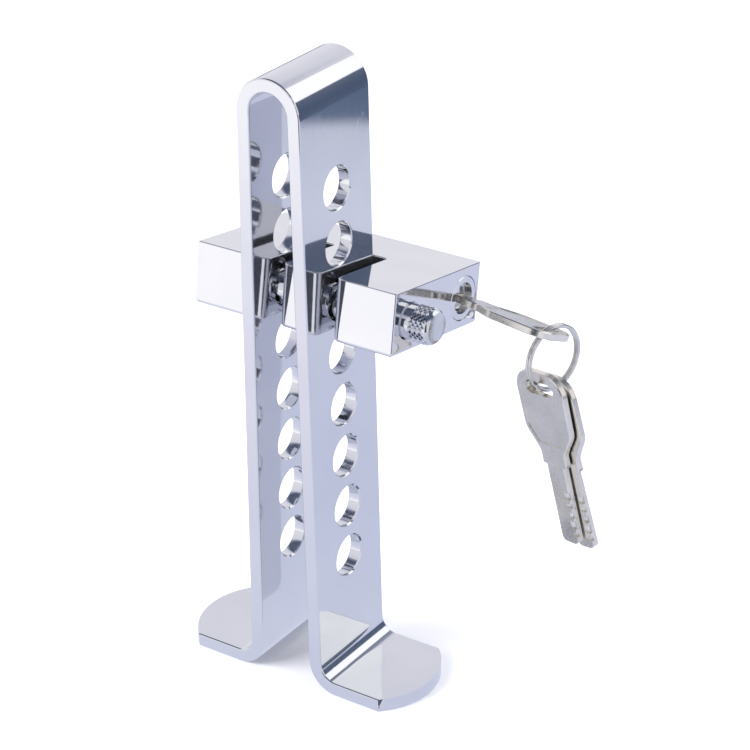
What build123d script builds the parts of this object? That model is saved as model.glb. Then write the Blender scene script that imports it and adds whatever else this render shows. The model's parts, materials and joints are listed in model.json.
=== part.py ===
"""Pedal lock: a hairpin strap bracket, a key-locked block with its cross bolt, and its keys.

Millimetres. Z is up from the undersides of the feet, X runs across the two legs towards the knob
and the key, and Y runs from the open side of the block's slots to its back. The lock is modelled
level about the bolt's axis and then set at the angle where it rests on the bracket.
"""
import os
from math import acos, asin, atan2, cos, degrees, hypot, pi, radians, sin, tan

from build123d import *

# --- strap bracket ---
strap_width = 40.0
strap_thickness = 5.0
bracket_height = 228.0
crest_radius = 12.5          # outside of the hairpin
leg_splay = 0.75             # degrees that each leg leans outwards
foot_bend_radius = 6.0       # inside of the bend
foot_corner_x = 39.0
foot_tip_x = 48.3
strap_edge_round = 0.7
hole_count = 8
hole_pitch = 20.0
hole_play = 1.5              # hole's radius beyond the bolt's
hole_chamfer = 0.5
first_hole_z = 46.2
used_hole = 5                # counted from the lowest, which is 0

# --- lock block ---
block_length = 81.6
block_height = 22.3
slot_play = 6.0              # slot width beyond the strap's thickness
slot_depth_play = 2.3        # slot end behind the strap's back edge, lock level
slot_corner_radius = 0.8
slot_mouth_round = 2.8
front_wall = 3.3             # in front of the bolt
slot_web = 3.6               # between a slot's end and the cylinder
back_wall = 1.85             # behind the cylinder
top_edge_round = 0.4
side_edge_round = 0.7
bottom_edge_round = 1.5
rest_gap = 0.32              # slot's end to the strap where the lock rests

# --- bolt ---
bolt_radius = 6.0
bolt_clearance = 0.06
bolt_engagement = 10.6       # length in the far prong
bolt_lift = 0.3              # how far the hanging bolt stands off the hole's lower edge
neck_length = 3.3
knurl_height = 0.5
knurl_length = 6.0
knob_end_length = 1.6
knob_end_bevel = 0.75
lock_groove_depth = 2.4
stop_screw_from_end = 10.5   # block's outer end to the screw
stop_screw_radius = 2.0
stop_point_radius = 1.25
stop_groove_depth = 1.6
screw_socket = 2.0           # across flats

# --- key cylinder ---
housing_wall = 2.0
housing_clearance = 0.05
housing_length = 27.3
recess_rim = 2.4             # housing's face round the recess
recess_depth = 2.5
lip_width = 1.1              # lip over the plug's edge
plug_radius = 6.0
plug_clearance = 0.05
plug_neck_step = 1.0
circlip_thickness = 0.8
circlip_overlap = 0.8        # beyond the plug's edge
circlip_groove_depth = 0.7
stub_radius = 2.5
stub_length = 3.2
cylinder_pin_from_end = 14.5
cylinder_pin_radius = 1.5
key_roll = 15.5              # degrees from level to the keyway, front edge up
wafer_count = 6
wafer_pitch = 3.0
wafer_thickness = 1.0
first_wafer_depth = 3.0      # plug's face to the first wafer's middle
wafer_low = -3.2
wafer_high = 4.4
wafer_side_gap = 0.1
wafer_lug = ((-3.3, -2.3), (-4.5, wafer_low))
spring_pocket_radius = 0.85
spring_pocket_z = -3.9
spring_pocket_top_y = 2.4
wafer_spring_length = 4.2
wafer_spring_wire = 0.28
wafer_spring_turns = 5
wafer_spring_top_y = -2.2    # just below the lug

# --- cam, latch and its spring ---
cam_bore_play = 1.5          # bore beyond the plug's neck
cam_small_radius = 3.0
latch_travel = 2.4
cam_gap = 0.35
cam_half_width = 3.2
latch_radius = 2.5
latch_clearance = 0.06
nose_radius = 1.2
nose_length = 2.4
collar_radius = 3.4
collar_thickness = 1.5
latch_spring_wire = 0.6
latch_spring_turns = 4
latch_spring_room = 6.0
latch_plug_length = 1.8

# --- key ---
key_thickness = 2.5
blade_length = 30.6
blade_width = 8.0
key_collar_length = 6.0
key_collar_width = 12.0
bow_length = 30.0
bow_width = 24.0
bow_rim = 1.8
bow_recess = 0.25
key_slot_length = 14.0
key_slot_play = 1.1          # slot's width beyond the wire's and the key's thickness
key_slot_from_tip = 6.4      # bow's end to the slot's middle
shoulder_gap = 6.4           # key's shoulder to the plug's face
key_droop = 6.0              # degrees that the key hangs below the cylinder's axis
keyway_clearance = 0.12
notch_pitch = 3.8
first_notch = 3.9            # tip to the first notch's middle
notch_depth = 0.95           # into the blade's face
notch_lengths = (1.6, 3.3, 2.4, 1.8, 2.8)
notch_widths = (1.6, 2.0, 1.5, 1.9, 2.1)

# --- split ring and the two spare keys ---
ring_radius = 11.35
ring_wire_width = 1.4
ring_wire_thickness = 1.05
ring_pitch = 1.13
ring_turns = 1.94
ring_start = -104.0          # degrees from the top where the outer end lies
ring_turn_about_z = 14.5     # degrees from square with X
ring_cross_angle = -19.0     # degrees from the top to where it crosses the key
ring_cross_offset = 1.5      # from the key's centre line
hang_angle = 202.0           # degrees from the top to where the spare keys hang
hang_clearance = 0.78
spare_gap = 0.59             # between the two spare keys' faces
spare_face = Vector(-0.287, -0.949, -0.1325)    # the way the front one faces
spare_down = Vector(0.192, 0.0787, -0.978)      # from its bow to its tip
rear_spare_lean = 2.8        # degrees that the rear one hangs further to the side
rear_spare_slide = 1.4       # and how far it has slid along its slot

# --- worked out from the sizes above ---
crest_z = bracket_height - crest_radius
crest_centre_radius = crest_radius - strap_thickness / 2
splay = radians(leg_splay)
lock_z = first_hole_z + used_hole * hole_pitch
hole_radius = bolt_radius + hole_play
bolt_z = lock_z - (hole_play - bolt_lift)


def leg_middle_x(z):
    """X of the middle of a leg's thickness at height z."""
    return crest_centre_radius / cos(splay) + (crest_z - z) * tan(splay)


slot_width = strap_thickness + slot_play
slot_middle_x = leg_middle_x(lock_z)
slot_inner_x = slot_middle_x - slot_width / 2
slot_outer_x = slot_middle_x + slot_width / 2
slot_end_y = strap_width / 2 + slot_depth_play
block_front_y = -(bolt_radius + front_wall)
bore_radius = bolt_radius + bolt_clearance
housing_radius = plug_radius + housing_wall
housing_bore_radius = housing_radius + housing_clearance
cylinder_y = slot_end_y + slot_web + housing_bore_radius
block_back_y = cylinder_y + housing_bore_radius + back_wall
half_length = block_length / 2
half_height = block_height / 2
slot_reach = hypot(slot_end_y, half_height)
rest_tilt = degrees(acos((strap_width / 2 + rest_gap) / slot_reach) - atan2(half_height, slot_end_y))

bolt_tip_x = -(slot_outer_x + bolt_engagement)
bolt_travel = slot_outer_x - bolt_tip_x + 0.3
stop_screw_x = half_length - stop_screw_from_end
cylinder_pin_x = half_length - cylinder_pin_from_end
housing_end_x = half_length - housing_length
plug_face_x = half_length - recess_depth
first_wafer_x = plug_face_x - first_wafer_depth
plug_neck_radius = plug_radius - plug_neck_step
circlip_groove_radius = plug_neck_radius - circlip_groove_depth
cam_bore_radius = plug_neck_radius + cam_bore_play
plug_neck_x = housing_end_x
circlip_x = housing_end_x - 0.1 - circlip_thickness
plug_end_x = circlip_x - 0.8
cam_large_radius = cam_small_radius + latch_travel
collar_y = cylinder_y - cam_small_radius - cam_gap - nose_length
spring_seat_y = collar_y - collar_thickness - latch_spring_room
latch_tip_y = bolt_radius + 0.35
spring_bore_radius = collar_radius + 0.2
spring_seat_clearance = 0.05
key_slot_x = key_collar_length + bow_length - key_slot_from_tip
key_slot_width = ring_wire_width + key_thickness + key_slot_play

lock_place = Location((0, 0, bolt_z), (-rest_tilt, 0, 0))
plug_place = lock_place * Location((0, cylinder_y, 0), (-key_roll, 0, 0))
key_tilt = Location((plug_face_x, 0, 0), (0, key_droop, 0))
key_place = plug_place * key_tilt * Location((shoulder_gap, 0, 0))


def x_rod(radius, x_from, x_to, y=0.0, z=0.0):
    """A round bar along X."""
    middle = Location(((x_from + x_to) / 2, y, z), (0, 90, 0))
    return middle * Cylinder(radius, abs(x_to - x_from))


def y_rod(radius, y_from, y_to, x=0.0, z=0.0):
    """A round bar along Y."""
    middle = Location((x, (y_from + y_to) / 2, z), (90, 0, 0))
    return middle * Cylinder(radius, abs(y_to - y_from))


def z_rod(radius, z_from, z_to, x=0.0, y=0.0):
    """A round bar along Z."""
    return Location((x, y, (z_from + z_to) / 2)) * Cylinder(radius, abs(z_to - z_from))


def block(x_range, y_range, z_range):
    """A rectangular block between two limits on each axis."""
    middle = [(low + high) / 2 for low, high in (x_range, y_range, z_range)]
    sides = [high - low for low, high in (x_range, y_range, z_range)]
    return Location(middle) * Box(*sides)


def turned(points):
    """A solid of revolution about X from (x, radius) points."""
    outline = make_face(Polyline(*[(x, 0, r) for x, r in points], close=True))
    return revolve(outline, Axis.X)


def coil(radius, wire, pitch, turns):
    """A round-wire spring about Z, from its first turn's middle up."""
    path = Helix(pitch, pitch * turns, radius)
    section = Plane(path @ 0, x_dir=(0, 0, 1), z_dir=path % 0) * Circle(wire / 2)
    return sweep(section, path, is_frenet=True)


# --- strap bracket ---
def strap_half_outline(offset):
    """Crest, leg, bend and foot of the right half, at an offset outwards from the strap's middle."""
    outward = Vector(cos(splay), 0, sin(splay))
    crest = crest_centre_radius + offset
    bend = foot_bend_radius + strap_thickness / 2 - offset
    bend_z = foot_bend_radius + strap_thickness
    crest_centre = Vector(0, 0, crest_z)
    middle_of_leg = crest_centre + outward * crest_centre_radius
    bend_middle_radius = foot_bend_radius + strap_thickness / 2
    bend_x = middle_of_leg.X + (bend_middle_radius - (bend_z - middle_of_leg.Z) * sin(splay)) / cos(splay)
    bend_centre = Vector(bend_x, 0, bend_z)
    leg_top = crest_centre + outward * crest
    leg_foot = bend_centre - outward * bend
    foot_start = bend_centre - Vector(0, 0, bend)
    half_crest = radians(90 + leg_splay) / 2
    crest_mid = crest_centre + Vector(sin(half_crest), 0, cos(half_crest)) * crest
    half_bend = radians(90 - leg_splay) / 2
    bend_mid = bend_centre - Vector(sin(half_bend), 0, cos(half_bend)) * bend
    top = crest_centre + Vector(0, 0, crest)
    tip = Vector(foot_tip_x, 0, foot_start.Z)
    return [
        ThreePointArc(top, crest_mid, leg_top),
        Line(leg_top, leg_foot),
        ThreePointArc(leg_foot, bend_mid, foot_start),
        Line(foot_start, tip),
    ]


def foot_plan():
    """The strap's outline from above, with its bowed foot tips."""
    half = strap_width / 2
    right = ThreePointArc((foot_corner_x, -half), (foot_tip_x, 0), (foot_corner_x, half))
    left = ThreePointArc((-foot_corner_x, half), (-foot_tip_x, 0), (-foot_corner_x, -half))
    back = Line((foot_corner_x, half), (-foot_corner_x, half))
    front = Line((-foot_corner_x, -half), (foot_corner_x, -half))
    return make_face([right, back, left, front])


def u_bracket():
    outer = strap_half_outline(strap_thickness / 2)
    inner = strap_half_outline(-strap_thickness / 2)
    ends = [Line(outer[-1] @ 1, inner[-1] @ 1), Line(inner[0] @ 0, outer[0] @ 0)]
    half = extrude(make_face(outer + inner + ends), strap_width / 2, dir=(0, 1, 0), both=True)
    strap = half + mirror(half, Plane.YZ)
    strap = strap & extrude(foot_plan(), bracket_height + 1)
    sides = [
        edge
        for edge in strap.edges()
        if abs(abs(edge.center().Y) - strap_width / 2) < 0.01 and edge.length > strap_thickness + 0.5
    ]
    strap = fillet(sides, strap_edge_round)
    for number in range(hole_count):
        z = first_hole_z + number * hole_pitch
        strap -= x_rod(hole_radius, -half_length, half_length, 0, z)
    rims = [
        edge
        for edge in strap.edges()
        if edge.geom_type in (GeomType.ELLIPSE, GeomType.CIRCLE)
        and abs(edge.length - 2 * pi * hole_radius) < 0.1
    ]
    return chamfer(rims, hole_chamfer)


# --- lock block ---
def lock_body():
    body = block((-half_length, half_length), (block_front_y, block_back_y), (-half_height, half_height))
    for side in (-1, 1):
        near, far = sorted((side * slot_inner_x, side * slot_outer_x))
        slot = block((near, far), (block_front_y - 1, slot_end_y), (-half_height - 1, half_height + 1))
        corners = [e for e in slot.edges().filter_by(Axis.Z) if e.center().Y > 0]
        body -= fillet(corners, slot_corner_radius)
    mouths = [
        e for e in body.edges().filter_by(Axis.Z)
        if abs(e.center().Y - block_front_y) < 0.01 and abs(e.center().X) < half_length - 1
    ]
    body = fillet(mouths, slot_mouth_round)
    corners = [e for e in body.edges().filter_by(Axis.Z) if abs(e.center().X) > half_length - 0.1]
    body = fillet(corners, side_edge_round)
    outline = [
        e
        for e in body.edges()
        if abs(e.center().Z + half_height) < 0.01
        and (abs(e.center().X) > slot_outer_x + slot_mouth_round or e.center().Y > slot_end_y + 1)
    ]
    ends = [
        e for e in body.edges()
        if abs(e.center().Z + half_height) < 0.01 and abs(e.center().X) > half_length - 1
    ]
    body = fillet(set(outline) | set(ends), bottom_edge_round)
    tops = [e for e in body.edges() if abs(e.center().Z - half_height) < 0.01]
    body = fillet(tops, top_edge_round)
    body -= x_rod(bore_radius, bolt_tip_x - 1.0, half_length + 1)
    body -= turned([(half_length - 0.6, 0), (half_length - 0.6, bore_radius),
                    (half_length + 0.1, bore_radius + 0.7), (half_length + 0.1, 0)])
    body -= x_rod(housing_bore_radius, plug_neck_x - 1.4, half_length + 1, cylinder_y)
    body -= x_rod(cam_bore_radius, -cam_half_width - 1.2, plug_neck_x, cylinder_y)
    body -= y_rod(latch_radius + latch_clearance, 0, cylinder_y)
    body -= y_rod(spring_bore_radius, spring_seat_y, block_back_y + 1)
    body -= z_rod(stop_screw_radius, -half_height - 1, 0, stop_screw_x)
    body -= z_rod(cylinder_pin_radius, -half_height - 1, 0, cylinder_pin_x, cylinder_y)
    return body


def bolt_stop_screw():
    """Headless screw whose point runs in the bolt's long groove and keeps the bolt from falling out."""
    bottom = -half_height + 0.4
    shoulder = -bore_radius - 0.3
    point = -bolt_radius + stop_groove_depth - 0.35
    screw = z_rod(stop_screw_radius - 0.02, bottom, shoulder, stop_screw_x)
    screw += z_rod(stop_point_radius, shoulder, point, stop_screw_x)
    socket = extrude(RegularPolygon(screw_socket / 2, 6, major_radius=False), 1.6)
    return screw - Location((stop_screw_x, 0, bottom)) * socket


def locking_bolt():
    """Bolt and knurled head in one piece, with its locking groove and its stop groove."""
    neck_end = half_length + neck_length
    knurl_end = neck_end + knurl_length
    head_end = knurl_end + knob_end_length
    knurl_radius = bolt_radius + knurl_height
    bolt = turned([
        (bolt_tip_x, 0), (bolt_tip_x, bolt_radius - 1.2), (bolt_tip_x + 1.2, bolt_radius),
        (neck_end, bolt_radius), (neck_end, knurl_radius - 0.3), (neck_end + 0.3, knurl_radius),
        (knurl_end, knurl_radius), (knurl_end + 0.4, knurl_radius - 0.35),
        (head_end - 0.9, bolt_radius), (head_end, bolt_radius - knob_end_bevel), (head_end, 0),
    ])
    groove_half = latch_radius + 0.5
    bolt -= x_rod(bolt_radius + 1, -groove_half, groove_half) - x_rod(
        bolt_radius - lock_groove_depth, -groove_half, groove_half)
    groove_from = stop_screw_x - bolt_travel - stop_point_radius - 0.3
    groove_to = stop_screw_x + stop_point_radius + 0.3
    width = stop_point_radius + 0.2
    bolt -= block((groove_from, groove_to), (-width, width),
                  (-bolt_radius - 1, -bolt_radius + stop_groove_depth))
    return bolt


# --- key cylinder ---
def cylinder_housing():
    body = x_rod(housing_radius, housing_end_x, half_length, cylinder_y)
    rim = [e for e in body.edges() if abs(e.center().X - half_length) < 0.01]
    body = chamfer(rim, 0.45)
    body -= x_rod(plug_radius + plug_clearance, housing_end_x - 1, plug_face_x, cylinder_y)
    lip_radius = plug_radius - lip_width
    cone = turned([(plug_face_x - 0.1, 0), (plug_face_x - 0.1, lip_radius), (plug_face_x, lip_radius),
                   (half_length + 0.01, housing_radius - recess_rim), (half_length + 0.01, 0)])
    body -= Location((0, cylinder_y, 0)) * cone
    groove_half = cylinder_pin_radius + 0.05
    groove = x_rod(housing_radius + 1, cylinder_pin_x - groove_half, cylinder_pin_x + groove_half)
    groove -= x_rod(housing_radius - 1, cylinder_pin_x - groove_half, cylinder_pin_x + groove_half)
    return body - Location((0, cylinder_y, 0)) * groove


def cylinder_pin():
    """Dowel from below into the housing's groove."""
    low, high = -half_height + 0.2, -housing_radius + 0.9
    return z_rod(cylinder_pin_radius - 0.02, low, high, cylinder_pin_x, cylinder_y)


def blade_space(clearance):
    """The room that the tilted blade takes up inside the plug, about the plug's axis."""
    half_width = blade_width / 2 + clearance
    half_thick = key_thickness / 2 + clearance
    reach = blade_length - shoulder_gap + 0.4
    section = ((-half_width, half_width), (-half_thick, half_thick))
    straight = block((plug_face_x - reach, plug_face_x + 1), *section)
    tilted = key_tilt * block((-reach, 1), *section)
    return straight + tilted


def wafer_window_top():
    """How far above the plug's axis the blade reaches at the last wafer."""
    last_x = first_wafer_x - (wafer_count - 1) * wafer_pitch - wafer_thickness
    return key_thickness / 2 + (plug_face_x - last_x) * tan(radians(key_droop)) + 0.25


def wafer_positions():
    return [first_wafer_x - number * wafer_pitch for number in range(wafer_count)]


def cylinder_plug():
    """Turning plug with its keyway, wafer slots and spring pockets, about its own axis."""
    plug = x_rod(plug_radius, plug_neck_x, plug_face_x) + x_rod(plug_neck_radius, plug_end_x, plug_neck_x)
    plug += x_rod(stub_radius, plug_end_x - stub_length, plug_end_x)
    groove = (circlip_x - 0.05, circlip_x + circlip_thickness + 0.05)
    plug -= x_rod(plug_neck_radius + 1, *groove) - x_rod(circlip_groove_radius, *groove)
    plug -= blade_space(keyway_clearance)
    half = wafer_thickness / 2 + 0.05
    for x in wafer_positions():
        plug -= block((x - half, x + half), (-plug_radius - 1, plug_radius + 1),
                      (wafer_low - wafer_side_gap, wafer_high + wafer_side_gap))
        plug -= y_rod(spring_pocket_radius, -plug_radius, spring_pocket_top_y, x, spring_pocket_z)
    return plug - cam_pin_shape(0.03)


def wafers():
    """Flat wafers with the blade's window and a lug for the spring."""
    half = wafer_thickness / 2
    half_window = blade_width / 2 + 0.3
    group = []
    for x in wafer_positions():
        disc = x_rod(plug_radius - 0.2, x - half, x + half)
        plate = disc & block((x - half, x + half), (-plug_radius, plug_radius), (wafer_low, wafer_high))
        lug = block((x - half + 0.05, x + half - 0.05), *wafer_lug)
        window = block((x - half, x + half), (-half_window, half_window),
                       (-key_thickness / 2 - 0.2, wafer_window_top()))
        group.append(plate + lug - window)
    return Compound(group)


def wafer_springs():
    group = []
    pitch = (wafer_spring_length - wafer_spring_wire - 0.2) / wafer_spring_turns
    radius = spring_pocket_radius - 0.2 - wafer_spring_wire / 2
    spring = coil(radius, wafer_spring_wire, pitch, wafer_spring_turns)
    for x in wafer_positions():
        start = Location((x, wafer_spring_top_y + wafer_spring_wire / 2, spring_pocket_z), (-90, 0, 0))
        group.append(start * spring)
    return Compound(group)


def circlip():
    ring_from, ring_to = circlip_x, circlip_x + circlip_thickness
    circlip_outer_radius = plug_radius + circlip_overlap
    ring = x_rod(circlip_outer_radius, ring_from, ring_to)
    ring -= x_rod(circlip_groove_radius + 0.05, ring_from, ring_to)
    return ring - block((ring_from - 1, ring_to + 1), (-2.2, 2.2), (0, circlip_outer_radius + 1))


def cam_pin_shape(clearance=0.0):
    middle = plug_end_x - stub_length / 2
    return y_rod(0.8 + clearance, -plug_neck_radius + 0.1, plug_neck_radius - 0.1, middle)


def plug_cam():
    """Cam on the plug's stub: its radius grows evenly with the angle, so the latch moves in step."""
    hub_end = plug_end_x - stub_length
    cam = x_rod(plug_neck_radius, hub_end - 1, plug_end_x - 0.02)
    cam -= x_rod(stub_radius + 0.03, hub_end, plug_end_x)
    cam += x_rod(cam_small_radius, cam_half_width, hub_end)
    steps = 6
    spiral = []
    for step in range(steps + 1):
        share = step / steps
        angle = radians(180 + 90 * share)
        radius = cam_small_radius + latch_travel * share
        spiral.append((radius * cos(angle), radius * sin(angle)))
    dwell_mid = (cam_large_radius * cos(radians(285)), cam_large_radius * sin(radians(285)))
    round_to = (cam_large_radius * cos(radians(300)), cam_large_radius * sin(radians(300)))
    back = (cam_small_radius * cos(radians(20)), cam_small_radius * sin(radians(20)))
    rear = ThreePointArc(back, (0, cam_small_radius), (-cam_small_radius, 0))
    nose = ThreePointArc(spiral[-1], dwell_mid, round_to)
    profile = make_face([Spline(*spiral), nose, Line(round_to, back), rear])
    lobe = extrude(Plane.YZ * profile, cam_half_width, both=True)
    return cam + lobe - Location((0, 0, 0), (-key_roll, 0, 0)) * cam_pin_shape(0.03)


def latch():
    """Latch pin: the nose faces the cam, the collar takes the spring, the tip locks the bolt."""
    pin = y_rod(latch_radius, latch_tip_y + 0.4, collar_y - collar_thickness + 0.1)
    tip = y_rod(latch_radius, latch_tip_y, latch_tip_y + 0.5)
    pin += chamfer([e for e in tip.edges() if abs(e.center().Y - latch_tip_y) < 0.01], 0.3)
    pin += y_rod(collar_radius, collar_y - collar_thickness, collar_y)
    nose = y_rod(nose_radius, collar_y, collar_y + nose_length)
    pin += fillet([e for e in nose.edges() if abs(e.center().Y - collar_y - nose_length) < 0.01], 0.8)
    return pin


def latch_spring():
    room = collar_y - collar_thickness - spring_seat_y - 2 * spring_seat_clearance
    pitch = (room - latch_spring_wire) / latch_spring_turns
    radius = (latch_radius + collar_radius) / 2
    spring = coil(radius, latch_spring_wire, pitch, latch_spring_turns)
    start = spring_seat_y + spring_seat_clearance + latch_spring_wire / 2
    return Location((0, start, 0), (-90, 0, 0)) * spring


def latch_bore_plug():
    return y_rod(spring_bore_radius, block_back_y - latch_plug_length, block_back_y)


# --- keys and ring ---
def blade():
    """Blade with milled notches along one edge of its front face and the other edge of its back."""
    half = key_thickness / 2
    plan = Location((-blade_length / 2, 0)) * Rectangle(blade_length, blade_width)
    plan = fillet([v for v in plan.vertices() if v.X < -1], 2.0)
    body = extrude(plan, half, both=True)
    for number, (length, width) in enumerate(zip(notch_lengths, notch_widths)):
        x = -blade_length + first_notch + number * notch_pitch
        for side in (-1, 1):
            low, high = sorted((side * (blade_width / 2 - width), side * blade_width))
            floor, face = sorted((-side * (half - notch_depth), -side * key_thickness))
            body -= block((x - length / 2, x + length / 2), (low, high), (floor, face))
    return body


def bow_outline(inset=0.0):
    half_collar = key_collar_width / 2
    half_bow = bow_width / 2
    end = key_collar_length + bow_length
    points = [(0, -half_collar), (key_collar_length - 1, -half_collar),
              (key_collar_length + 7, -half_bow + 0.5), (end, -half_bow)]
    outline = points + [(x, -y) for x, y in reversed(points)]
    face = make_face(Polyline(*outline, close=True))
    radii = {round(key_collar_length - 1, 3): 4.0, round(key_collar_length + 7, 3): 6.0, round(end, 3): 8.0}
    for x, radius in radii.items():
        face = fillet([v for v in face.vertices() if abs(v.X - x) < 0.01], radius)
    if inset:
        face = offset(face, -inset) & Location((end / 2 + key_collar_length + 2, 0)) * Rectangle(end, bow_width)
    return face


def key():
    """A key lying in XY: its shoulder at the origin, its bow towards +X, its faces square with Z."""
    half = key_thickness / 2
    bow = extrude(bow_outline(), half, both=True)
    bow = chamfer([e for e in bow.edges() if abs(abs(e.center().Z) - half) < 0.01 and e.center().X > 0.01], 0.3)
    panel = bow_outline(bow_rim)
    for side in (-1, 1):
        bow -= Location((0, 0, side * half)) * extrude(panel, bow_recess, both=True)
    bow -= Location((key_slot_x, 0)) * extrude(
        SlotOverall(key_slot_length, key_slot_width, rotation=90), key_thickness, both=True)
    return bow + blade()


ring_across = Vector(sin(radians(ring_turn_about_z)), cos(radians(ring_turn_about_z)), 0)
ring_normal = Vector(cos(radians(ring_turn_about_z)), -sin(radians(ring_turn_about_z)), 0)


def ring_spoke(angle):
    """Direction from the ring's centre, an angle from its top."""
    return Vector(0, 0, 1) * cos(radians(angle)) + ring_across * sin(radians(angle))


def hang_step():
    """Degrees along the ring from its hanging point to each spare key, so that their faces stay apart."""
    along = abs(ring_spoke(hang_angle + 90).dot(spare_face.normalized()))
    return degrees(asin((key_thickness + spare_gap) / (2 * ring_radius * along)))


ring_cross = (key_place * Location((key_slot_x, ring_cross_offset, 0))).position
ring_centre = ring_cross - ring_spoke(ring_cross_angle) * ring_radius


def split_ring():
    """Two turns of flat wire lying side by side, with free ends."""
    path = Helix(ring_pitch, ring_pitch * ring_turns, ring_radius)
    wire = RectangleRounded(ring_wire_thickness, ring_wire_width, 0.3)
    section = Plane(path @ 0, x_dir=(0, 0, 1), z_dir=path % 0) * wire
    ring = sweep(section, path, is_frenet=True)
    frame = Plane(ring_centre, x_dir=ring_spoke(ring_start), z_dir=ring_normal)
    return Location(frame) * (Location((0, 0, -ring_pitch * ring_turns / 2)) * ring)


def spare_hang_point(side):
    """Where on the ring a spare key hangs: side 1 is the front one, -1 the rear one."""
    return ring_centre + ring_spoke(hang_angle + side * hang_step()) * ring_radius


def spare_place(side):
    """A spare key's place: its slot's upper edge just above the wire."""
    face = spare_face.normalized()
    up = (spare_down * -1).normalized()
    up = (up - face * up.dot(face)).normalized()
    if side < 0:
        up = (up + face.cross(up) * tan(radians(rear_spare_lean))).normalized()
    across = face.cross(up)
    wire_lean = radians(ring_spoke(hang_angle + side * hang_step() + 90).get_angle(face))
    wire_reach = ring_wire_width / 2 / abs(cos(wire_lean)) + key_thickness / 2 * abs(tan(wire_lean))
    drop = key_slot_width / 2 - wire_reach - hang_clearance
    middle = spare_hang_point(side) - up * drop
    if side < 0:
        middle -= across * rear_spare_slide
    return Location(Plane(middle - up * key_slot_x, x_dir=up, z_dir=face))


def make_parts():
    parts = {
        "u_bracket": u_bracket(),
        "lock_body": lock_place * lock_body(),
        "locking_bolt": lock_place * locking_bolt(),
        "bolt_stop_screw": lock_place * bolt_stop_screw(),
        "cylinder_housing": lock_place * cylinder_housing(),
        "cylinder_pin": lock_place * cylinder_pin(),
        "cylinder_plug": plug_place * cylinder_plug(),
        "wafers": plug_place * wafers(),
        "wafer_springs": plug_place * wafer_springs(),
        "plug_circlip": plug_place * circlip(),
        "plug_cam": lock_place * Location((0, cylinder_y, 0)) * plug_cam(),
        "cam_pin": plug_place * cam_pin_shape(),
        "latch": lock_place * latch(),
        "latch_spring": lock_place * latch_spring(),
        "latch_bore_plug": lock_place * latch_bore_plug(),
        "key_in_lock": key_place * key(),
        "split_ring": split_ring(),
        "spare_key_front": spare_place(1) * key(),
        "spare_key_rear": spare_place(-1) * key(),
    }
    return parts


if __name__ == "__main__":
    os.makedirs("parts", exist_ok=True)
    for name, shape in make_parts().items():
        export_step(shape, f"parts/{name}.step")
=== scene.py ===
# Looks of the pedal lock: chromed strap and block, knurled bolt, key cylinder, keys and split ring.

import json
from math import cos, pi, radians, sin

import bmesh
import bpy
from mathutils import Matrix, Vector

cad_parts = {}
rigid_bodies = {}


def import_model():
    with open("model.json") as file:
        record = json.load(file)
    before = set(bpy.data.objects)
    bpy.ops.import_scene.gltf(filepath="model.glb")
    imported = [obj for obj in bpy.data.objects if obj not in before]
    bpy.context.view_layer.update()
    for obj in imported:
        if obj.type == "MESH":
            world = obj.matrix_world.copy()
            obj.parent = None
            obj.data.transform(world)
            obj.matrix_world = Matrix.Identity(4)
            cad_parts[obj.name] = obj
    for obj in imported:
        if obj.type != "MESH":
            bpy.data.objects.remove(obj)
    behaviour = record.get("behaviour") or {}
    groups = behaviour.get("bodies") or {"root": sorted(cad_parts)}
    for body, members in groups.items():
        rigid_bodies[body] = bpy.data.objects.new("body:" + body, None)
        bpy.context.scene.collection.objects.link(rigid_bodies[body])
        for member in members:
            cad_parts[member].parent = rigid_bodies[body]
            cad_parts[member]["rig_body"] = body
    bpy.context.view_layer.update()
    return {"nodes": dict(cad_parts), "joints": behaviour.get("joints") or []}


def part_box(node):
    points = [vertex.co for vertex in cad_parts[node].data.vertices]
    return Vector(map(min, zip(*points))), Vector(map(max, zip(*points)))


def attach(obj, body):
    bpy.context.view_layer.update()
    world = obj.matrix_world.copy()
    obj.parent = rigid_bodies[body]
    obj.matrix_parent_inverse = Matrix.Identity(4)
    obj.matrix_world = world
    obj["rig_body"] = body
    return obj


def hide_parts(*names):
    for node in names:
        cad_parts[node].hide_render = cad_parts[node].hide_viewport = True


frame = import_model()
nodes = frame["nodes"]
joints = {joint["name"]: joint for joint in frame["joints"]}
MM = 0.001

# --- sizes, in millimetres ---
knurl_around = 22
knurl_row_step = 0.92
knurl_peak_radius = 6.5
knurl_root_radius = 6.08
knurl_length = 6.0
neck_length = 3.3
block_half_length = 40.8
ring_radius = 11.35
ring_wire_width = 1.4
ring_wire_thickness = 1.05
ring_pitch = 1.13
ring_turns = 1.94
ring_start = -104.0
ring_turn_about_z = 14.5
ring_edge_radius = 0.35
floor_half = 4.0
mirror_floor_drop = 0.001

# --- where the lock stands: level about the bolt, then tilted ---
lock_back = Vector(joints["latch_slide"]["axis"]) * -1
lock_side = Vector((1, 0, 0))
lock_up = lock_side.cross(lock_back)
lock_frame = Matrix.Translation(Vector(joints["lock_tilt"]["pos_m"])) @ Matrix(
    (lock_side, lock_back, lock_up)).transposed().to_4x4()


# --- materials ---
def linear(hex_colour):
    """An sRGB hex colour as linear RGBA."""
    channels = [int(hex_colour[i:i + 2], 16) / 255 for i in (0, 2, 4)]
    return [c / 12.92 if c <= 0.04045 else ((c + 0.055) / 1.055) ** 2.4 for c in channels] + [1.0]


def add(tree, kind, links=None, **settings):
    """Adds a node, sets its properties and inputs, and links {input: output socket}."""
    node = tree.nodes.new(kind)
    for name, value in settings.items():
        if hasattr(node, name):
            setattr(node, name, value)
        else:
            node.inputs[name.replace("_", " ")].default_value = value
    for name, socket in (links or {}).items():
        tree.links.new(socket, node.inputs[name])
    return node


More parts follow.
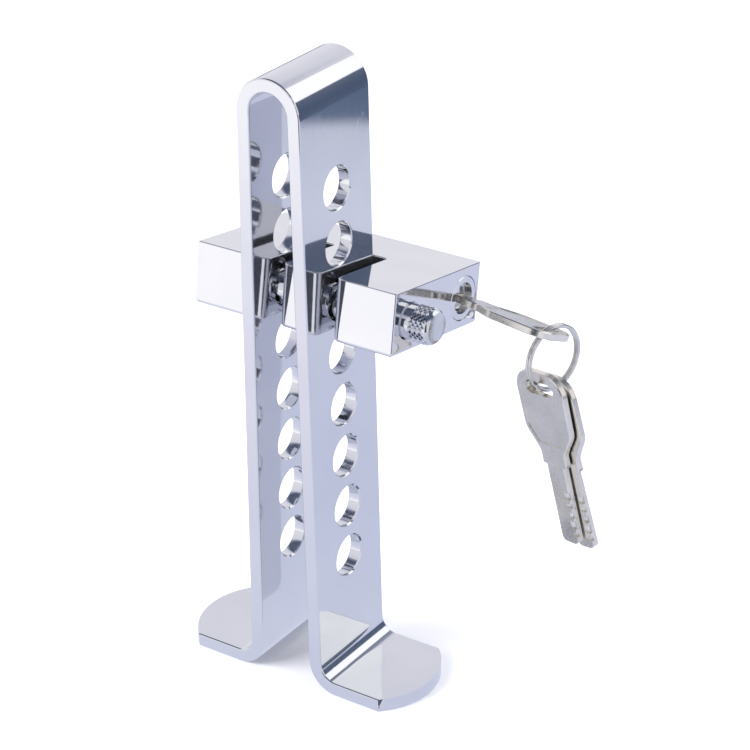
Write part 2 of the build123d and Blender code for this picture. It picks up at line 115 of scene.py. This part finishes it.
def ramp(tree, socket, stops):
    """A colour ramp from (position, value) stops."""
    node = add(tree, "ShaderNodeValToRGB", {"Fac": socket})
    elements = node.color_ramp.elements
    while len(elements) < len(stops):
        elements.new(0.5)
    for element, (position, value) in zip(elements, stops):
        element.position = position
        element.color = value if isinstance(value, (list, tuple)) else (value, value, value, 1)
    return node


def metal(name, tint, deep, rough, wander_mm, grain_mm, grain_bump, grain_stretch=(1, 1, 1), scratch=0.0,
          ripple=0.0, haze=0.0):
    """Metal: colour wander, grain in roughness and bump, scratches, slow ripple, a share of soft haze."""
    material = bpy.data.materials.new(name)
    material.use_nodes = True
    tree = material.node_tree
    tree.nodes.clear()
    place = add(tree, "ShaderNodeTexCoord").outputs["Object"]
    wander = add(tree, "ShaderNodeTexNoise", {"Vector": place}, Scale=1 / (wander_mm * MM), Detail=3.0)
    colour = ramp(tree, wander.outputs["Fac"], [(0.35, linear(tint)), (0.7, linear(deep))])
    stretch = add(tree, "ShaderNodeMapping", {"Vector": place}, vector_type="TEXTURE")
    stretch.inputs["Scale"].default_value = grain_stretch
    grain = add(tree, "ShaderNodeTexNoise", {"Vector": stretch.outputs["Vector"]}, Scale=1 / (grain_mm * MM),
                Detail=4.0)
    spread = ramp(tree, grain.outputs["Fac"], [(0.3, rough * 0.7), (0.75, rough * 1.5)])
    bump = add(tree, "ShaderNodeBump", {"Height": grain.outputs["Fac"]}, Strength=grain_bump,
               Distance=0.02 * MM)
    normal = bump.outputs["Normal"]
    roughness = spread.outputs["Color"]
    base = colour.outputs["Color"]
    if ripple:
        slow = add(tree, "ShaderNodeTexNoise", {"Vector": place}, Scale=1 / (22 * MM), Detail=1.0)
        wave = add(tree, "ShaderNodeBump", {"Height": slow.outputs["Fac"], "Normal": normal},
                   Strength=ripple, Distance=0.25 * MM)
        normal = wave.outputs["Normal"]
    if scratch:
        turn = add(tree, "ShaderNodeMapping", {"Vector": place}, vector_type="TEXTURE")
        turn.inputs["Rotation"].default_value = (0.5, 0.35, 0.8)
        turn.inputs["Scale"].default_value = (1, 1, 26)
        lines = add(tree, "ShaderNodeTexNoise", {"Vector": turn.outputs["Vector"]}, Scale=1 / (1.1 * MM),
                    Detail=2.0)
        cut = ramp(tree, lines.outputs["Fac"], [(0.66, 0.0), (0.70, 1.0)])
        where = add(tree, "ShaderNodeTexNoise", {"Vector": place}, Scale=1 / (18 * MM))
        patch = ramp(tree, where.outputs["Fac"], [(0.52, 0.0), (0.66, 1.0)])
        marks = add(tree, "ShaderNodeMath", operation="MULTIPLY")
        tree.links.new(cut.outputs["Color"], marks.inputs[0])
        tree.links.new(patch.outputs["Color"], marks.inputs[1])
        dulled = add(tree, "ShaderNodeMath", operation="MULTIPLY_ADD")
        tree.links.new(marks.outputs["Value"], dulled.inputs[0])
        dulled.inputs[1].default_value = scratch
        tree.links.new(roughness, dulled.inputs[2])
        roughness = dulled.outputs["Value"]
        groove = add(tree, "ShaderNodeBump", {"Height": marks.outputs["Value"], "Normal": normal},
                     invert=True,
                     Strength=scratch, Distance=0.02 * MM)
        normal = groove.outputs["Normal"]
    shader = add(tree, "ShaderNodeBsdfPrincipled", {"Base Color": base, "Roughness": roughness,
                 "Normal": normal},
                 Metallic=1.0)
    surface = shader.outputs["BSDF"]
    if haze:
        soft = add(tree, "ShaderNodeBsdfPrincipled", {"Base Color": base, "Normal": normal}, Metallic=1.0,
                   Roughness=0.38)
        both = add(tree, "ShaderNodeMixShader", Fac=haze)
        tree.links.new(surface, both.inputs[1])
        tree.links.new(soft.outputs["BSDF"], both.inputs[2])
        surface = both.outputs["Shader"]
    add(tree, "ShaderNodeOutputMaterial", {"Surface": surface})
    return material


def bright_chrome_strap():
    """Bright chrome over cold-rolled bar: a mirror with the bar's slow ripple and a few rub marks."""
    return metal("bright chrome on rolled bar", "E6E7EA", "E0E1E6", 0.05, 35, 0.8, 0.16, (1, 1, 9),
                 0.2, 0.06, 0.14)


def bright_chrome_block():
    """Bright chrome over a ground block: flatter and a little whiter than the strap."""
    return metal("bright chrome on ground steel", "E8E8EB", "E2E2E7", 0.04, 30, 0.6, 0.05, (8, 1, 1),
                 0.10, 0.02, 0.06)


def chrome_turned():
    """Chrome over a turned bolt: fine rings left by the lathe."""
    return metal("chrome on turned steel", "E2E3E6", "D6D8DC", 0.06, 12, 0.35, 0.08, (0.4, 6, 6), haze=0.1)


def nickel_plate():
    """Nickel plate on the cylinder: slightly warmer and softer than chrome."""
    return metal("nickel plate on turned brass", "EAEAEC", "DCDCE0", 0.12, 9, 0.3, 0.10, (1, 5, 5))


def satin_nickel_key():
    """Satin nickel on stamped brass: tumbled, so it is grey and soft, with a fine even grain."""
    return metal("satin nickel on stamped brass", "F6F2E8", "EAE6DC", 0.24, 7, 0.22, 0.22, (1, 1, 1), 0.15)


def nickel_wire():
    """Nickel-plated spring wire: bright, with drawing lines."""
    return metal("bright nickel on spring wire", "E8E5DF", "D6D4D0", 0.10, 5, 0.3, 0.10)


def bare_steel():
    """Machined steel inside the lock: grey, oiled."""
    return metal("machined steel", "A6A6A8", "8C8C90", 0.28, 6, 0.3, 0.25, (1, 6, 1))


def spring_steel():
    """Drawn spring steel."""
    return metal("drawn spring steel", "98989C", "7E7E84", 0.25, 3, 0.2, 0.15)


def stamped_brass():
    """Stamped brass wafers."""
    return metal("stamped brass", "D2B36A", "B8964A", 0.25, 3, 0.25, 0.2)


def black_oxide():
    """Black oxide on the set screw: near black, satin."""
    return metal("black oxide on steel", "2B2B2E", "1E1E20", 0.4, 3, 0.25, 0.3)


strap_chrome = bright_chrome_strap()
block_chrome = bright_chrome_block()
bolt_chrome = chrome_turned()
cylinder_nickel = nickel_plate()
key_nickel = satin_nickel_key()
ring_nickel = nickel_wire()
steel = bare_steel()
spring = spring_steel()
brass = stamped_brass()
screw_black = black_oxide()


def give(piece, material):
    piece.data.materials.clear()
    piece.data.materials.append(material)


# --- pieces ---
def plain_mesh(piece):
    """Applies a piece's modifiers and gives it back with a plain mesh."""
    evaluated = piece.evaluated_get(bpy.context.evaluated_depsgraph_get())
    mesh = bpy.data.meshes.new_from_object(evaluated)
    piece.modifiers.clear()
    piece.data = mesh
    return piece


def smooth_copy(node, name, material, sharp=32, reshape=None):
    """A CAD node's shape with merged corners, smooth curved faces and true flat ones."""
    mesh = nodes[node].data.copy()
    form = bmesh.new()
    form.from_mesh(mesh)
    bmesh.ops.remove_doubles(form, verts=form.verts, dist=0.002 * MM)
    bmesh.ops.dissolve_degenerate(form, edges=form.edges, dist=0.0005 * MM)
    bmesh.ops.dissolve_limit(form, angle_limit=radians(0.3), verts=form.verts, edges=form.edges)
    if reshape:
        reshape(form)
    for face in form.faces:
        face.smooth = True
    form.to_mesh(mesh)
    form.free()
    mesh.set_sharp_from_angle(angle=radians(sharp))
    piece = bpy.data.objects.new(name, mesh)
    bpy.context.scene.collection.objects.link(piece)
    weigh = piece.modifiers.new("weigh", "WEIGHTED_NORMAL")
    weigh.mode = "FACE_AREA"
    weigh.keep_sharp = True
    plain_mesh(piece)
    give(piece, material)
    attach(piece, nodes[node]["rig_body"])
    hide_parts(node)
    return piece


def lower_knurl_band(form):
    """Takes the bolt's knurled band down to the knurl's roots."""
    inverse = lock_frame.inverted()
    for vertex in form.verts:
        local = inverse @ vertex.co
        radius = Vector((0, local.y, local.z)).length
        if radius > (knurl_root_radius + 0.1) * MM:
            share = knurl_root_radius * MM / radius
            vertex.co = lock_frame @ Vector((local.x, local.y * share, local.z * share))


def node_group(name, inputs):
    """A Geometry Nodes tree with named number inputs and a geometry output."""
    tree = bpy.data.node_groups.new(name, "GeometryNodeTree")
    for label, kind in inputs:
        tree.interface.new_socket(label, in_out="INPUT", socket_type=kind)
    tree.interface.new_socket("Geometry", in_out="OUTPUT", socket_type="NodeSocketGeometry")
    return tree


def grown(name, tree, values):
    """An object whose mesh a Geometry Nodes tree makes, turned into a plain mesh."""
    piece = bpy.data.objects.new(name, bpy.data.meshes.new(name))
    bpy.context.scene.collection.objects.link(piece)
    modifier = piece.modifiers.new("grow", "NODES")
    modifier.node_group = tree
    for item in tree.interface.items_tree:
        if item.item_type == "SOCKET" and item.in_out == "INPUT" and item.name in values:
            modifier[item.identifier] = values[item.name]
    return plain_mesh(piece)


def maths(tree, operation, first, second=None):
    """A Math node on sockets or numbers."""
    node = add(tree, "ShaderNodeMath", operation=operation)
    for index, value in enumerate((first, second)):
        if value is None:
            continue
        if isinstance(value, (int, float)):
            node.inputs[index].default_value = value
        else:
            tree.links.new(value, node.inputs[index])
    return node.outputs["Value"]


def knurl_tree(material):
    """Rows of blunt pyramids round a bar along X, every other row half a step on: a diamond knurl."""
    tree = node_group("diamond knurl", [
        ("Around", "NodeSocketInt"), ("Rows", "NodeSocketInt"), ("Row Step", "NodeSocketFloat"),
        ("Start", "NodeSocketFloat"), ("Root Radius", "NodeSocketFloat"), ("Height", "NodeSocketFloat")])
    given = add(tree, "NodeGroupInput").outputs
    count = maths(tree, "MULTIPLY", given["Around"], given["Rows"])
    line = add(tree, "GeometryNodeMeshLine", {"Count": count})
    index = add(tree, "GeometryNodeInputIndex").outputs["Index"]
    row = maths(tree, "FLOOR", maths(tree, "DIVIDE", index, given["Around"]))
    column = maths(tree, "MODULO", index, given["Around"])
    shift = maths(tree, "MULTIPLY", maths(tree, "MODULO", row, 2.0), 0.5)
    step = maths(tree, "DIVIDE", 2 * pi, given["Around"])
    angle = maths(tree, "MULTIPLY", maths(tree, "ADD", column, shift), step)
    along = maths(tree, "ADD", given["Start"], maths(tree, "MULTIPLY", row, given["Row Step"]))
    across, up = maths(tree, "COSINE", angle), maths(tree, "SINE", angle)
    outward = add(tree, "ShaderNodeCombineXYZ", {"Y": across, "Z": up}).outputs["Vector"]
    middle = maths(tree, "ADD", given["Root Radius"], maths(tree, "MULTIPLY", given["Height"], -0.05))
    place = add(tree, "ShaderNodeCombineXYZ", {
        "X": along, "Y": maths(tree, "MULTIPLY", across, middle), "Z": maths(tree, "MULTIPLY", up, middle)})
    points = add(tree, "GeometryNodeSetPosition", {"Geometry": line.outputs["Mesh"],
                                                   "Position": place.outputs["Vector"]})
    half_step = maths(tree, "MULTIPLY", maths(tree, "MULTIPLY", step, given["Root Radius"]), 0.52)
    diamond = add(tree, "GeometryNodeMeshCone", {
        "Radius Bottom": half_step, "Radius Top": maths(tree, "MULTIPLY", half_step, 0.22),
        "Depth": maths(tree, "MULTIPLY", given["Height"], 1.05)}, Vertices=4)
    turn = add(tree, "FunctionNodeAxesToRotation", {"Primary Axis": outward}, primary_axis="Z",
               secondary_axis="X")
    turn.inputs["Secondary Axis"].default_value = (1, 0, 0)
    rows = add(tree, "GeometryNodeInstanceOnPoints", {
        "Points": points.outputs["Geometry"], "Instance": diamond.outputs["Mesh"],
        "Rotation": turn.outputs["Rotation"]})
    real = add(tree, "GeometryNodeRealizeInstances", {"Geometry": rows.outputs["Instances"]})
    coat = add(tree, "GeometryNodeSetMaterial", {"Geometry": real.outputs["Geometry"]}, Material=material)
    add(tree, "NodeGroupOutput", {"Geometry": coat.outputs["Geometry"]})
    return tree


def bolt_and_knurl():
    smooth_copy("locking_bolt", "bolt_bar", bolt_chrome, reshape=lower_knurl_band)
    rows = int(knurl_length / knurl_row_step)
    start = block_half_length + neck_length + (knurl_length - (rows - 1) * knurl_row_step) / 2
    knurl = grown("bolt_knurl", knurl_tree(bolt_chrome), {
        "Around": knurl_around, "Rows": rows, "Row Step": knurl_row_step * MM, "Start": start * MM,
        "Root Radius": knurl_root_radius * MM, "Height": (knurl_peak_radius - knurl_root_radius) * MM})
    knurl.data.transform(lock_frame)
    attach(knurl, "bolt")


def ring_tree(material):
    """Flat wire wound about Z, from its middle height, with rounded edges."""
    tree = node_group("split ring wire", [
        ("Turns", "NodeSocketFloat"), ("Radius", "NodeSocketFloat"), ("Rise", "NodeSocketFloat"),
        ("Wire Width", "NodeSocketFloat"), ("Wire Thickness", "NodeSocketFloat"),
        ("Edge", "NodeSocketFloat")])
    given = add(tree, "NodeGroupInput").outputs
    spiral = add(tree, "GeometryNodeCurveSpiral", {
        "Rotations": given["Turns"], "Start Radius": given["Radius"], "End Radius": given["Radius"],
        "Height": given["Rise"]}, Resolution=96)
    upright = add(tree, "GeometryNodeSetCurveNormal", {"Curve": spiral.outputs["Curve"]}, mode="Z_UP")
    section = add(tree, "GeometryNodeCurvePrimitiveQuadrilateral", {
        "Width": given["Wire Width"], "Height": given["Wire Thickness"]})
    rounded = add(tree, "GeometryNodeFilletCurve", {
        "Curve": section.outputs["Curve"], "Radius": given["Edge"]}, mode="POLY")
    rounded.inputs["Count"].default_value = 4
    wire = add(tree, "GeometryNodeCurveToMesh", {
        "Curve": upright.outputs["Curve"], "Profile Curve": rounded.outputs["Curve"]})
    wire.inputs["Fill Caps"].default_value = True
    coat = add(tree, "GeometryNodeSetMaterial", {"Geometry": wire.outputs["Mesh"]}, Material=material)
    add(tree, "NodeGroupOutput", {"Geometry": coat.outputs["Geometry"]})
    return tree


def split_ring():
    low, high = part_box("split_ring")
    turn = radians(ring_turn_about_z)
    normal = Vector((cos(turn), -sin(turn), 0))
    across = Vector((sin(turn), cos(turn), 0))
    start = Vector((0, 0, 1)) * cos(radians(ring_start)) + across * sin(radians(ring_start))
    rise = ring_pitch * ring_turns * MM
    wire = grown("ring_wire", ring_tree(ring_nickel), {
        "Turns": ring_turns, "Radius": ring_radius * MM, "Rise": rise, "Wire Width": ring_wire_width * MM,
        "Wire Thickness": ring_wire_thickness * MM, "Edge": ring_edge_radius * MM})
    place = Matrix.Translation((low + high) / 2) @ Matrix(
        (start, normal.cross(start), normal)).transposed().to_4x4() @ Matrix.Translation((0, 0, -rise / 2))
    wire.data.transform(place)
    form = bmesh.new()
    form.from_mesh(wire.data)
    bmesh.ops.remove_doubles(form, verts=form.verts, dist=0.001 * MM)
    bmesh.ops.recalc_face_normals(form, faces=form.faces)
    for face in form.faces:
        face.smooth = True
    form.to_mesh(wire.data)
    form.free()
    wire.data.set_sharp_from_angle(angle=radians(50))
    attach(wire, "ring")
    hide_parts("split_ring")


smooth_copy("u_bracket", "strap", strap_chrome)
smooth_copy("lock_body", "block", block_chrome)
smooth_copy("latch_bore_plug", "bore_plug", block_chrome)
smooth_copy("cylinder_housing", "cylinder_face", cylinder_nickel)
smooth_copy("cylinder_plug", "key_plug", cylinder_nickel)
bolt_and_knurl()
split_ring()
for key in ("key_in_lock", "spare_key_front", "spare_key_rear"):
    smooth_copy(key, key + "_finished", key_nickel, sharp=28)
for node, material in (
    ("bolt_stop_screw", screw_black), ("cylinder_pin", steel), ("wafers", brass), ("wafer_springs", spring),
    ("plug_circlip", spring), ("plug_cam", steel), ("cam_pin", steel), ("latch", steel),
    ("latch_spring", spring),
):
    give(nodes[node], material)


# --- floor, light and camera ---
def flat_card(name, corners):
    mesh = bpy.data.meshes.new(name)
    mesh.from_pydata(corners, [], [(0, 1, 2, 3)])
    card = bpy.data.objects.new(name, mesh)
    bpy.context.scene.collection.objects.link(card)
    return card


def glowing(material, colour_socket=None, colour=None, strength=1.0):
    """Fills an empty material with a plain glow of one colour, or of a socket's colour."""
    tree = material.node_tree
    glow = add(tree, "ShaderNodeEmission", Strength=strength)
    if colour_socket:
        tree.links.new(colour_socket, glow.inputs["Color"])
    else:
        glow.inputs["Color"].default_value = linear(colour)
    add(tree, "ShaderNodeOutputMaterial", {"Surface": glow.outputs["Emission"]})
    return material


def new_tree(name):
    material = bpy.data.materials.new(name)
    material.use_nodes = True
    material.node_tree.nodes.clear()
    return material


def for_mirrors_only(card):
    """Hides a card from everything but reflections, so that it is only a painted reflection in the chrome.
    """
    card.visible_camera = False
    card.visible_diffuse = False
    card.visible_shadow = False


def painted_reflection_card(name, bearing, distance, width, low, high, colour, strength=1.0):
    """A painted reflection: an upright glowing card facing the lock that only the chrome sees, at a bearing
    in degrees clockwise from +Y seen from above.
    """
    turn = radians(bearing)
    away = Vector((sin(turn), cos(turn), 0))
    along = Vector((cos(turn), -sin(turn), 0)) * (width / 2)
    middle = away * distance
    foot, head = Vector((0, 0, low)), Vector((0, 0, high))
    corners = [middle - along + foot, middle + along + foot, middle + along + head, middle - along + head]
    card = flat_card(name, corners)
    material = new_tree(name)
    card.data.materials.append(glowing(material, colour=colour, strength=strength))
    for_mirrors_only(card)


def softbox(name, place, towards, width, height, power, colour=(1, 1, 1)):
    light = bpy.data.lights.new(name, "AREA")
    light.shape = "RECTANGLE"
    light.size, light.size_y = width, height
    light.energy = power
    light.color = colour
    lamp = bpy.data.objects.new(name, light)
    lamp.location = place
    lamp.rotation_euler = (Vector(towards) - Vector(place)).to_track_quat("-Z", "Y").to_euler()
    lamp.visible_camera = False
    lamp.visible_glossy = False
    bpy.context.scene.collection.objects.link(lamp)


def floor_corners(height):
    return [(-floor_half, -floor_half, height), (floor_half, -floor_half, height),
            (floor_half, floor_half, height), (-floor_half, floor_half, height)]


def pale_floor():
    floor = flat_card("floor", floor_corners(0))
    material = new_tree("matt white paper")
    tree = material.node_tree
    shader = add(tree, "ShaderNodeBsdfDiffuse")
    shader.inputs["Color"].default_value = linear("F6F6F8")
    add(tree, "ShaderNodeOutputMaterial", {"Surface": shader.outputs["BSDF"]})
    floor.data.materials.append(material)
    floor.visible_glossy = False


def painted_floor_reflection():
    """A painted reflection of the floor: a glowing card that only the chrome sees, with painted light and
    shade, bluish grey close by and behind, dark far behind to the right, white far to the front left where
    the light falls.
    """
    card = flat_card("painted floor reflection", floor_corners(-mirror_floor_drop))
    material = new_tree("painted floor reflection")
    tree = material.node_tree
    place = add(tree, "ShaderNodeTexCoord").outputs["Object"]
    front_left = add(tree, "ShaderNodeVectorMath", {0: place}, operation="DOT_PRODUCT")
    front_left.inputs[1].default_value = (-0.5, -0.84, 0)
    shift = add(tree, "ShaderNodeMath", {0: front_left.outputs["Value"]}, operation="MULTIPLY_ADD")
    shift.inputs[1].default_value = 0.8
    shift.inputs[2].default_value = 0.54
    # Painted light and shade of the floor's reflection: a dark band far behind to the right, bluish grey
    # near the lock, white to the front left.
    colour = ramp(tree, shift.outputs["Value"], [
        (0.0, linear("44526A")), (0.086, linear("50607A")), (0.1, linear("C0C4D4")), (0.2, linear("C8CCDE")),
        (0.43, linear("BEC3D8")), (0.58, linear("CACEDF")), (0.73, linear("DCDBE9")),
        (1.0, linear("F8F8FA"))])
    card.data.materials.append(glowing(material, colour_socket=colour.outputs["Color"], strength=1.28))
    for_mirrors_only(card)


def studio_world():
    world = bpy.data.worlds.new("studio")
    bpy.context.scene.world = world
    world.use_nodes = True
    tree = world.node_tree
    tree.nodes.clear()
    direction = add(tree, "ShaderNodeTexCoord").outputs["Generated"]
    height = add(tree, "ShaderNodeSeparateXYZ", {"Vector": direction}).outputs["Z"]
    sky = ramp(tree, height, [(0.0, linear("F2F2F8")), (0.2, linear("F3F3F9")), (0.63, linear("EAEAF4")),
                              (0.71, linear("8A92A6")), (0.78, linear("465069")), (0.95, linear("5F6A80"))])
    back = add(tree, "ShaderNodeBackground", {"Color": sky.outputs["Color"]}, Strength=1.0)
    add(tree, "ShaderNodeOutputWorld", {"Surface": back.outputs["Background"]})


pale_floor()
painted_floor_reflection()
studio_world()
softbox("front left softbox", (-0.9, -1.0, 1.1), (0, 0, 0.05), 1.2, 1.2, 34)
softbox("top softbox", (0.3, 0.4, 1.5), (0, 0, 0.1), 1.4, 1.0, 20)
# Painted reflections for the chrome: dark glowing cards paint dark bands behind and in front, and a bright
# glowing card paints a white reflection high up behind.
painted_reflection_card("painted dark reflection behind", 36, 1.5, 0.95, -0.0005, 0.70, "485874")
painted_reflection_card("painted bright reflection behind", 34, 1.5, 1.3, 0.73, 2.1, "FFFFFF", 1.3)
painted_reflection_card("painted dark reflection in front", 149, 0.55, 0.34, 0.0, 0.45, "2C3444")

camera_data = bpy.data.cameras.new("camera")
camera_data.lens = 120.65
camera_data.sensor_width = 36.0
camera_data.clip_start = 0.05
camera = bpy.data.objects.new("camera", camera_data)
bpy.context.scene.collection.objects.link(camera)
azimuth, elevation, roll = radians(34.286), radians(26.992), radians(0.830)
back = Vector((sin(azimuth) * cos(elevation), -cos(azimuth) * cos(elevation), sin(elevation)))
right = (-back).cross(Vector((0, 0, 1))).normalized()
up = right.cross(-back)
turned_right = right * cos(roll) - up * sin(roll)
turned_up = right * sin(roll) + up * cos(roll)
camera.matrix_world = Matrix.Translation((0.453366, -0.625716, 0.506702)) @ Matrix(
    (turned_right, turned_up, back)).transposed().to_4x4()
bpy.context.scene.camera = camera
bpy.context.scene.view_settings.view_transform = "Standard"
